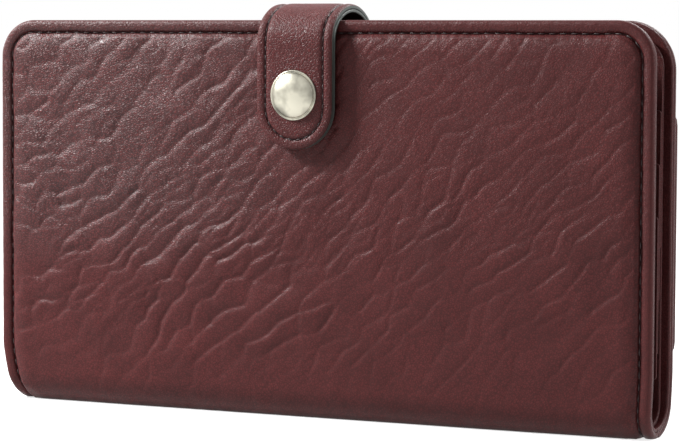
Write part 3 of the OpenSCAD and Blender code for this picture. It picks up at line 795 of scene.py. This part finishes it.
def make_strap():
    strap = sheet_solid("tab_strap_leather", on_tab, TAB_R, TAB_LEN, TAB_R, STRAP_INSETS,
                        [(0, TAB_LEATHER_T * k) for k in (0.5, 0.8)], [0.02, 0.8, 2, 6], TAB_LEATHER_T,
                        tab_relief, 0.45, turns=40)
    dress(strap, "strap", "edge", "backing")
    half_w = TAB_R + 0.12
    backing = sheet_solid("tab_strap_backing", lambda x, s, out: on_tab(x, s, out - TAB_LEATHER_T), half_w,
                          TAB_LEN, half_w, BACKING_INSETS, sheet_rim(TAB_BACKING_T, 0.35), [0.4, 1.2, 4, 8],
                          TAB_BACKING_T, lambda x, s, inset: (0 * x, 0 * x), 0.45, turns=40)
    dress(backing, "edge", "edge", "backing")
    loop = inset_path(TAB_R, TAB_LEN, TAB_R, TAB_GROOVE, start=1.5)
    stitches = stitch_row("tab_stitches", on_tab, loop, TAB_STITCH)
    for piece in (strap, backing, stitches):
        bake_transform(piece)
    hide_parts("tab_leather", "tab_root_leather")
    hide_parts("tab_backing", "tab_root_backing")


make_strap()


# Flat pieces between rings of points: card slots, the window's frame, the coin pocket and the zip tapes

Rect = namedtuple("Rect", "x0 x1 z0 z1 r")


def node_rect(node, corner, wider=0):
    """The rectangle that a flat node fills, with round corners, or one that is wider at each end."""
    low, high = node_box(node)
    return Rect(low[0] - wider, high[0] + wider, low[2], high[2], corner)


def grow(rect, e):
    return Rect(rect.x0 - e, rect.x1 + e, rect.z0 - e, rect.z1 + e, max(rect.r + e, 0.05))


def ring_points(rect, counts, turns=5):
    """Points round a rectangle with round corners, up its left side first. counts is how many lie along its
    sides across and down."""
    x0, x1, z0, z1, r = rect
    middles = np.array([(x0 + r, z1 - r), (x1 - r, z1 - r), (x1 - r, z0 + r), (x0 + r, z0 + r)])
    points = []
    for k, middle in enumerate(middles):
        first, count = math.radians(180 - 90 * k), counts[(k + 1) % 2]
        out = r * np.array([math.cos(first), math.sin(first)])
        points += [middles[k - 1] + out + (middle - middles[k - 1]) * t for t in np.arange(count) / count]
        turn = first - math.pi / 2 * np.arange(turns) / turns
        points += list(middle + r * np.stack([np.cos(turn), np.sin(turn)], -1))
    return np.array(points)


def face_rings(outer, inner, near_outer, near_inner, steps, counts):
    """Rings of one face, from its inner line out to its outline."""
    first = [ring_points(grow(inner, e), counts) for e in near_inner]
    last = [ring_points(grow(outer, -e), counts) for e in reversed(near_outer)]
    mixed = [first[-1] + (last[0] - first[-1]) * t for t in np.linspace(0, 1, steps)[1:-1]]
    return first + mixed + last


def middle_line(rect):
    """The line that a plate's rings shrink to."""
    half = min(rect.x1 - rect.x0, rect.z1 - rect.z0) / 2 - 0.01
    return Rect(rect.x0 + half, rect.x1 - half, rect.z0 + half, rect.z1 - half, 0.005)


def loft(name, place, rings, closed):
    """Joins rings of (points, height, zone, crease); a closed loft joins the last ring to the first."""
    n = len(rings[0][0])
    x, z = np.concatenate([r[0] for r in rings]).T
    height, crease = (np.concatenate([np.broadcast_to(r[i], (n,)) for r in rings]) for i in (1, 3))
    faces = grid_faces(len(rings), n, ring=True, loop=closed)
    zones = [max(a[2], b[2]) for a, b in zip(rings, rings[1:]) for _ in range(n)]
    if closed:
        zones += [rings[-1][2]] * n
    return new_object(name, place(x, z, height), faces, zones,
                      {"flat": np.stack([x, z, height * 3], -1), "crease": crease,
                       "inset": np.full(x.shape, 9.0), "grain": np.ones(x.shape)})


def face_ring(relief, p, rect):
    """A ring of points on a face, with the relief's height and crease there."""
    x, z = p.T
    inset = np.minimum(np.minimum(x - rect.x0, rect.x1 - x), np.minimum(z - rect.z0, rect.z1 - z))
    height, crease = relief(x, z, inset)
    return p, height, 0, crease


def plate(name, place, outer, thick, relief, counts, steps, near=(0.25, 0.6, 1.1, 1.7), window=None,
          near_window=(0,), foot=None):
    """A thin closed plate with a round edge: its face has a relief, and its back is flat. window is a
    rectangle left open in it, and foot gives the wall down from its edge: (width, depth)."""
    def ring(rect, e, height):
        return ring_points(grow(rect, e), counts), height, 1, 0
    inner = window or middle_line(outer)
    edge_r, back = (0.35, ((2.2,), (0.4,), 4)) if window else (0.25, ((0.3,), (0,), 3))
    rings = [face_ring(relief, p, outer) for p in face_rings(outer, inner, near, near_window, steps, counts)]
    rings += [ring(outer, edge_r * (math.sin(a) - 1), thick / 2 * (math.cos(a) - 1))
              for a in np.radians(np.linspace(20, 160, 5))]
    if foot:
        width, depth = foot
        rings += [ring(outer, -0.05, -(thick + depth) / 2), ring(outer, -0.3, -depth),
                  ring(outer, -width, -depth), ring(outer, -width - 0.1, -thick - 0.05)]
    rings += [(p, -thick, 1, 0) for p in reversed(face_rings(outer, inner, *back, counts))]
    if window:
        rings += [ring(window, 0.12, -0.85 * thick), ring(window, 0, -0.5 * thick)]
    return loft(name, place, rings, closed=bool(window))


def join(name, parts):
    """One object from several, in place."""
    work = bmesh.new()
    for part in parts:
        work.from_mesh(part.data)
    mesh = bpy.data.meshes.new(name)
    work.to_mesh(mesh)
    work.free()
    for material in parts[0].data.materials:
        mesh.materials.append(material)
    for part in parts:
        old = part.data
        bpy.data.objects.remove(part)
        bpy.data.meshes.remove(old)
    return linked(name, mesh)


def flat_on(side, rise, way=1):
    """Places (x, z, height) flat on a cover, from rise above its outside; both are inward if way is -1."""
    def place(x, z, out):
        return np.stack([x, side * (FOLD_R + way * (rise + out)), z], -1)
    return place


# A column of card slots: their number, thickness, pitch in depth, first top, step down, depth and lowest
# foot, and how deep the column lies in the cover
SLOT_N = 4
SLOT_T = 0.6
SLOT_PITCH = 0.74
SLOT_TOP = 93
SLOT_STEP = 13
SLOT_DEPTH = 47
SLOT_FOOT = 14
SLOTS_D = PANEL_D + PANEL_T


def slot_relief(top):
    def relief(x, z, inset):
        line = -0.13 * ridge(top - z, 2.4, 0.22)
        wave = 0.03 * noise(x / 14, z / 9, 71)
        height, crease = pillows(x, z, SLOT_CREASES)
        face = (wave - 0.03 + 0.03 * height) * smooth(inset, 0.6, 2)
        return line - 0.2 * rolled(inset, 0.5) - 0.02 + face, 0.3 * crease
    return relief


def make_slots(node, side):
    low, high = node_box(node)
    parts, row = [], None
    for k in range(SLOT_N):
        top = SLOT_TOP - SLOT_STEP * k
        foot = SLOT_FOOT if k == SLOT_N - 1 else top - SLOT_DEPTH
        place = flat_on(side, SLOTS_D + SLOT_PITCH * (k + 1), -1)
        rect = Rect(low[0], high[0], foot, top, 0.8)
        parts.append(plate(f"{node}_slot", place, rect, SLOT_T, slot_relief(top), (70, 34), 26))
        dress(parts[-1], "slot", "rim")
        if k == SLOT_N - 1:
            x0, x1 = low[0] + 1.3, high[0] - 1.3
            path = [(x0, top - 1.5), (x0, foot + 1.4), (x1, foot + 1.4), (x1, top - 1.5)]
            row = stitch_row(f"{node}_stitches", place, path, SLOT_STITCH)
    slots = join(f"{node}_leather", parts)
    for piece in (slots, row):
        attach(piece, SIDE[side] + "_cover")
    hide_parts(node)


for node_name in ("front_card_slots_left", "front_card_slots_right"):
    make_slots(node_name, FRONT)
make_slots("back_card_slots", BACK)


def loop_stitches(name, place, rects, counts, stitch, turns=5):
    """Closed rows of stitches along rectangles on the back cover."""
    for k, rect in enumerate(rects):
        path = ring_points(rect, counts, turns)
        row = stitch_row(f"{name}_{k + 1}", place, np.concatenate([path, path[:1]]), stitch)
        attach(row, "back_cover")


# The identity window: the thicknesses of its leather and film, its border, and the groove beside each edge
FRAME_T = 0.8
FILM_T = 0.25
WINDOW_BORDER = 7
FRAME_GROOVE = 1.7


def make_window_frame():
    outer = node_rect("id_window_frame", 2)
    window = grow(outer, -WINDOW_BORDER)._replace(r=2)

    def relief(x, z, inset):
        height, crease = pillows(x, z, FRAME_CREASES)
        face = 0.03 * height - 0.03
        for edge in (inset, WINDOW_BORDER - inset):
            face = face - 0.2 * rolled(edge, 0.6) - 0.16 * ridge(edge, FRAME_GROOVE, 0.3)
        return face, 0.3 * crease
    place = flat_on(BACK, SLOTS_D + FILM_T + FRAME_T, -1)
    near = (0.02, 0.3, 0.6, 1.1, 1.4, 1.7, 2.0, 2.4)
    obj = plate("id_window_frame_leather", place, outer, FRAME_T, relief, (110, 80), 6, near, window, near)
    dress(obj, "slot", "rim")
    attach(obj, "back_cover")
    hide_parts("id_window_frame")
    rects = (grow(outer, -FRAME_GROOVE), grow(window, FRAME_GROOVE))
    loop_stitches("id_window_stitches", place, rects, (40, 30), FRAME_STITCH)


make_window_frame()


# The coin pocket: its rise, leather, seam, corners and padding, how far it runs past its node at each end,
# the grooves beside its edge and round the zip, and the zip's opening
COIN_T = 2.4
COIN_LEATHER_T = 1.1
COIN_SEAM_W = 1.6
COIN_R = 5
COIN_PUFF = 0.75
COIN_WIDER = 0.9
COIN_GROOVE = 2.5
ZIP_GROOVE = 1.9
ZIP_W = 150
ZIP_H = 9
ZIP_Z = 71.5


def coin_relief(window):
    def relief(x, z, inset):
        gap = np.hypot(np.maximum(0, np.maximum(window.x0 - x, x - window.x1)),
                       np.maximum(0, np.maximum(window.z0 - z, z - window.z1)))
        edges = -0.35 * rolled(inset, 0.9) - 0.3 * rolled(gap, 0.8)
        grooves = -0.42 * ridge(inset, COIN_GROOVE, 0.34) - 0.35 * ridge(gap, ZIP_GROOVE, 0.32)
        puff = COIN_PUFF * smooth(inset, 2.4, 16) * smooth(gap, 1.8, 12)
        big, crease = pillows(x + 310, z, COIN_CREASES)
        weak = 0.3 + 0.7 * smooth(noise(x / 23, z / 17, 44), -0.5, 0.5)
        inside = weak * smooth(inset, 2.6, 5) * smooth(gap, 2, 4)
        return edges + grooves + puff + 0.5 * inside * big, inside * crease
    return relief


def make_coin_pocket():
    outer = node_rect("coin_pocket_panel", COIN_R, COIN_WIDER)
    window = Rect(-ZIP_W / 2, ZIP_W / 2, ZIP_Z - ZIP_H / 2, ZIP_Z + ZIP_H / 2, 2)
    near_outer = (0.03, 0.3, 0.6, 0.9, 1.5, 2.0, 2.25, 2.4, 2.5, 2.6, 2.8, 3.1, 3.6)
    near_inner = (0.03, 0.3, 0.6, 0.8, 1.3, 1.6, 1.75, 1.9, 2.05, 2.3, 2.7)
    place = flat_on(BACK, COIN_T)
    obj = plate("coin_pocket_leather", place, outer, COIN_LEATHER_T, coin_relief(window), (330, 90), 84,
                near_outer, window, near_inner, foot=(COIN_SEAM_W + COIN_WIDER, COIN_T))
    dress(obj, "pocket", "rim")
    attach(obj, "back_cover")
    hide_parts("coin_pocket_panel")
    rects = (grow(outer, -COIN_GROOVE), grow(window, ZIP_GROOVE))
    loop_stitches("coin_pocket_stitches", place, rects, (60, 30), COIN_STITCH, turns=8)


make_coin_pocket()


# The zip's tapes: their thickness, and how far their backs are above the cover
TAPE_T = 0.4
TAPE_RISE = 0.9


def make_tape(node, up):
    rect = node_rect(node, 0.3)
    near_z = rect.z0 if up else rect.z1

    def relief(x, z, inset):
        far = np.abs(z - near_z)
        cord = 0.16 * ridge(far, 0.45, 0.3) - 0.07 * ridge(far, 1.3, 0.15)
        return cord - 0.15 * rolled(inset, 0.3), 0 * x
    obj = plate(node + "_woven", flat_on(BACK, TAPE_RISE + TAPE_T), rect, TAPE_T, relief, (160, 8), 14,
                near=(0.1, 0.3, 0.45, 0.7, 1.0, 1.3, 1.6))
    dress(obj, "tape", "tape")
    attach(obj, "back_cover")
    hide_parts(node)


make_tape("zip_tape_upper", True)
make_tape("zip_tape_lower", False)


# The dividers' steps in the binding: how many, and how far apart in depth and height
PAGE_N = 5
PAGE_PITCH = 0.52
PAGE_RISE = 0.5


def make_binding():
    """The stepped binding under the dividers: its profile swept along the fold, with rounded ends."""
    low, high = node_box("divider_binding")
    r = FOLD_R - PANEL_D - PANEL_T
    profile = []
    for i in range(PAGE_N):
        y, z = low[1] + PAGE_PITCH * i, high[2] - PAGE_RISE * (PAGE_N - 1 - i)
        profile += [(y + 0.02, z - 0.12), (y + 0.1, z), (y + PAGE_PITCH - 0.02, z)]
    profile.append((high[1], high[2] - 0.15))
    under = np.linspace(high[1] - 0.05, low[1] + 0.05, 9)
    profile += [(y, FOLD_Z - math.sqrt(r * r - y * y)) for y in under]
    profile.append((low[1], profile[-1][1] + 0.2))
    profile = np.array(profile)
    middle, n = profile.mean(0), len(profile)
    ends, shrink = np.array([0, 0.15, 0.5]), np.array([0.6, 0.85, 0.97])
    run = np.linspace(low[0] + 1.2, high[0] - 1.2, 120)
    run = np.concatenate([low[0] + ends, run, high[0] - ends[::-1]])
    shrink = np.concatenate([shrink, np.ones(120), shrink[::-1]])
    x = np.repeat(run, n)
    y, z = (middle + (profile - middle) * shrink[:, None, None]).reshape(-1, 2).T
    obj = new_object("divider_binding_leather", np.stack([x, y, z], -1), tube_faces(len(run), n), None,
                     {"flat": np.stack([x, z + y, y], -1)})
    dress(obj, "inner")
    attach(obj, "spine")
    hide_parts("divider_binding")


make_binding()


# The snap's cap: a full dome inside a rolled lip, on its post

# How far the strap stands off the cover, the radii of the cap's post and rolled lip, and its facets
TAB_STAND = 2
POST_R = 1.6
LIP_R = 0.3
CAP_TURNS = 96


def make_cap():
    """The cap: a closed profile of (radius, height above the strap) turned about the snap's axis."""
    low, high = node_box("snap_cap")
    face_y = -FOLD_R - TAB_STAND - TAB_T
    r, h, post = (high[0] - low[0]) / 2, face_y - low[1], high[1] - face_y
    profile = [(0, -post), (POST_R - 0.1, -post), (POST_R, -post + 0.1), (POST_R, 0), (r - LIP_R, 0)]
    profile += arc_points(r - LIP_R, LIP_R, LIP_R, *np.degrees((-1.5, 1.9)), 12)
    edge_r, edge_h = r - 2.1 * LIP_R, 1.75 * LIP_R
    profile.append((edge_r + 0.12, edge_h - 0.02))
    for a in np.linspace(0, math.pi / 2, 18):
        rise = math.sin(a) ** 1.1 if a > 0 else 0
        profile.append((edge_r * max(0.0, math.cos(a)), edge_h + (h - edge_h) * rise))
    profile[-1] = (0, h)
    out, up = np.array(profile).T
    turn = 2 * math.pi * np.arange(CAP_TURNS)[:, None] / CAP_TURNS
    x, z = (low[0] + high[0]) / 2 + out * np.cos(turn), (low[2] + high[2]) / 2 + out * np.sin(turn)
    points = np.stack([x, face_y - up + 0 * turn, z], -1).reshape(-1, 3)
    faces = grid_faces(CAP_TURNS, len(profile), loop=True)
    obj = new_object("snap_cap_dome", points, faces, None, {"flat": points * [1, 0, 1]})
    dress(obj, "nickel")
    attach(obj, "snap_tab")
    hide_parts("snap_cap")


make_cap()


# CAD nodes keep their shapes and get their finishes

FINISH = {
    "nickel": ("snap_socket", "snap_stud", "snap_stud_rivet"),
    "zip": ("zip_teeth_upper", "zip_teeth_lower", "zip_slider", "zip_pull"),
    "card": tuple(f"divider_{i}" for i in range(1, 6)),
    "film": ("id_window_film",),
    "board": ("front_board", "back_board"),
}
for key, names in FINISH.items():
    for name in names:
        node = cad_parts[name]
        node.data.materials.clear()
        dress(node, key)


# The stage: a white floor, soft lamps and the camera

def showing(n, plain, shown):
    """One value for light on the object and another where the camera, metal or glass looks at it."""
    rays = [n.add("LightPath", f"Is {ray} Ray") for ray in ("Camera", "Glossy", "Transmission")]
    return n.ramp(n.math("MAXIMUM", rays[0], n.math("MAXIMUM", *rays[1:])), 0, 1, plain, shown)


# How bright the floor shows to the camera near the object, and the greys of its noise
FLOOR_GLOW = 0.75
FLOOR_GREYS = ((0.44, 0.44, 0.44, 1), (0.48, 0.48, 0.48, 1))


def make_floor():
    half = 6.0
    corners = [(-half, -half, 0), (half, -half, 0), (half, half, 0), (-half, half, 0)]
    mesh = bpy.data.meshes.new("floor")
    mesh.from_pydata(corners, [], [(0, 1, 2, 3)])
    floor = linked("floor", mesh)
    n = material("floor")
    tone = n.mix(n.ramp(n.noise(n.place(False, 0.01)), 0.3, 0.7), *FLOOR_GREYS)
    away = n.add("VectorMath", "Value", {0: n.add("TexCoord", "Object")}, operation="LENGTH")
    n.finish(Base_Color=tone, Roughness=0.9, Specular_IOR_Level=0.0, Emission_Color=(1, 1, 1, 1),
             Emission_Strength=showing(n, 0.0, n.ramp(away, 0.3, 0.9, FLOOR_GLOW, 1.0)))
    mesh.materials.append(n.owner)


def make_lamp(name, spot, aim, size, power):
    data = bpy.data.lights.new(name, "AREA")
    data.shape = "RECTANGLE"
    data.size, data.size_y = size
    data.energy = power
    lamp = linked(name, data)
    lamp.location = spot
    lamp.rotation_mode = "QUATERNION"
    lamp.rotation_quaternion = (Vector(aim) - Vector(spot)).to_track_quat("-Z", "Y")


def make_world(strength):
    world = bpy.data.worlds.new("studio")
    bpy.context.scene.world = world
    n = Nodes(world, "Background")
    n.finish(Color=(1, 1, 1, 1), Strength=showing(n, strength, 1.0))


# Where the camera is, in metres, how it is turned from looking down, in degrees, and its lens
CAMERA_AT = (0.3100, -0.6362, 0.0957)
CAMERA_TURNS = ((25.63, "Z"), (86.33, "X"), (0.246, "Z"))
CAMERA_LENS = 145.85


def make_camera():
    data = bpy.data.cameras.new("camera")
    data.lens = CAMERA_LENS
    data.sensor_width = 36
    data.clip_start, data.clip_end = 0.01, 30
    camera = linked("camera", data)
    place = Matrix.Translation(CAMERA_AT)
    for angle, axis in CAMERA_TURNS:
        place = place @ Matrix.Rotation(math.radians(angle), 4, axis)
    camera.matrix_world = place
    bpy.context.scene.camera = camera


make_floor()
make_world(0.05)
make_lamp("key", (-0.43, -0.19, 0.42), (0, 0, 0.05), (0.12, 0.12), 7.9)
make_lamp("back", (0.2, 0.5, 0.6), (0.03, 0, 0.07), (0.4, 0.3), 6)
make_lamp("right", (0.62, 0.1, 0.3), (0.09, 0, 0.05), (0.15, 0.3), 2)
make_camera()
bpy.context.scene.view_settings.view_transform = "Standard"
